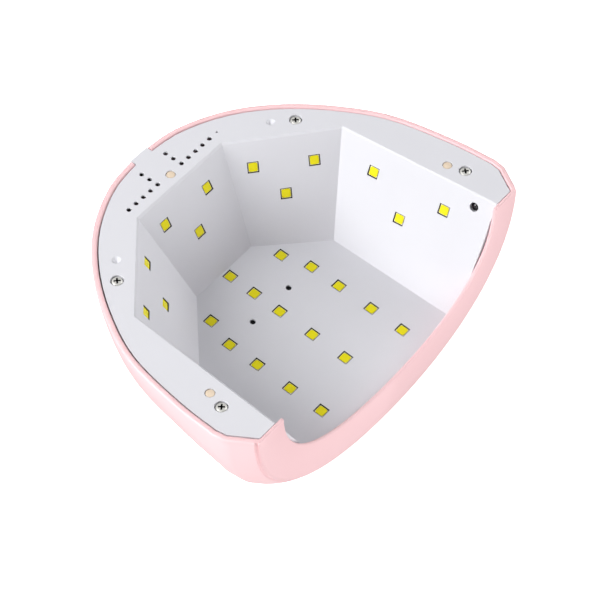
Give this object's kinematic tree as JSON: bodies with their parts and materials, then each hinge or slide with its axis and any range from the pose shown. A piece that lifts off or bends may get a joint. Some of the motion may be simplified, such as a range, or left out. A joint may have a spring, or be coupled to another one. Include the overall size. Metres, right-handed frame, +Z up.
{
  "type": "uv led nail lamp",
  "caption": "Open-fronted UV LED nail lamp: domed shell over a faceted white liner lined with emitters, with sprung timer buttons and a rear power jack.",
  "frame": {"origin": "centre of the bounding box at the rim that the lamp stands on", "axes": "+Z up through the dome, +Y from the hand opening towards the power jack, +X across the lamp; symmetric about X = 0"},
  "size_m": [0.2072, 0.1546, 0.0837],
  "materials": {
    "shell_abs": "pale pink moulded ABS with a satin gloss",
    "liner_abs": "white moulded ABS, matte",
    "led_board": "aluminium circuit board with black solder mask",
    "led_emitter": "yellow phosphor gel in a white package",
    "control_board": "glass-epoxy circuit board with green solder mask",
    "button_abs": "white moulded ABS, satin",
    "black_plastic": "black moulded nylon",
    "black_screw": "black oxide steel",
    "screw_steel": "nickel-plated steel",
    "magnet_cover": "cream coating",
    "smoked_lens": "smoked epoxy lens",
    "lead_sheath": "PVC sheath"
  },
  "bodies": {
    "root": {"base_screw_front_left": "screw_steel", "base_screw_front_right": "screw_steel", "base_screw_rear_left": "screw_steel", "base_screw_rear_right": "screw_steel", "button_switch_left": "black_plastic", "button_switch_middle": "black_plastic", "button_switch_right": "black_plastic", "ceiling_screw_left": "black_screw", "ceiling_screw_right": "black_screw", "control_board": "control_board", "hand_sensor_receiver": "smoked_lens", "hand_sensor_sender": "smoked_lens", "inner_liner": "liner_abs", "led_back_1": "led_emitter", "led_back_2": "led_emitter", "led_back_3": "led_emitter", "led_board_back": "led_board", "led_board_ceiling": "led_board", "led_board_oblique_left": "led_board", "led_board_oblique_right": "led_board", "led_board_side_left": "led_board", "led_board_side_right": "led_board", "led_ceiling_centre_1": "led_emitter", "led_ceiling_centre_2": "led_emitter", "led_ceiling_centre_3": "led_emitter", "led_ceiling_centre_4": "led_emitter", "led_ceiling_centre_5": "led_emitter", "led_ceiling_left_1": "led_emitter", "led_ceiling_left_2": "led_emitter", "led_ceiling_left_3": "led_emitter", "led_ceiling_left_4": "led_emitter", "led_ceiling_left_5": "led_emitter", "led_ceiling_right_1": "led_emitter", "led_ceiling_right_2": "led_emitter", "led_ceiling_right_3": "led_emitter", "led_ceiling_right_4": "led_emitter", "led_ceiling_right_5": "led_emitter", "led_lead": "lead_sheath", "led_oblique_left_1": "led_emitter", "led_oblique_left_2": "led_emitter", "led_oblique_left_3": "led_emitter", "led_oblique_right_1": "led_emitter", "led_oblique_right_2": "led_emitter", "led_oblique_right_3": "led_emitter", "led_side_left_1": "led_emitter", "led_side_left_2": "led_emitter", "led_side_left_3": "led_emitter", "led_side_right_1": "led_emitter", "led_side_right_2": "led_emitter", "led_side_right_3": "led_emitter", "magnet_left": "magnet_cover", "magnet_rear": "magnet_cover", "magnet_right": "magnet_cover", "outer_shell": "shell_abs", "power_jack": "black_plastic", "power_lead": "lead_sheath"},
    "button_left": {"timer_button_left": "button_abs"},
    "button_middle": {"timer_button_middle": "button_abs"},
    "button_right": {"timer_button_right": "button_abs"}
  },
  "joints": [
    {"name": "button_left_press", "type": "slide", "parent": "root", "child": "button_left", "axis": [0, 0, -1], "range_m": [0, 0.0006], "stiffness_N_per_m": 900},
    {"name": "button_middle_press", "type": "slide", "parent": "root", "child": "button_middle", "axis": [0, 0, -1], "range_m": [0, 0.0006], "stiffness_N_per_m": 900},
    {"name": "button_right_press", "type": "slide", "parent": "root", "child": "button_right", "axis": [0, 0, -1], "range_m": [0, 0.0006], "stiffness_N_per_m": 900}
  ]
}
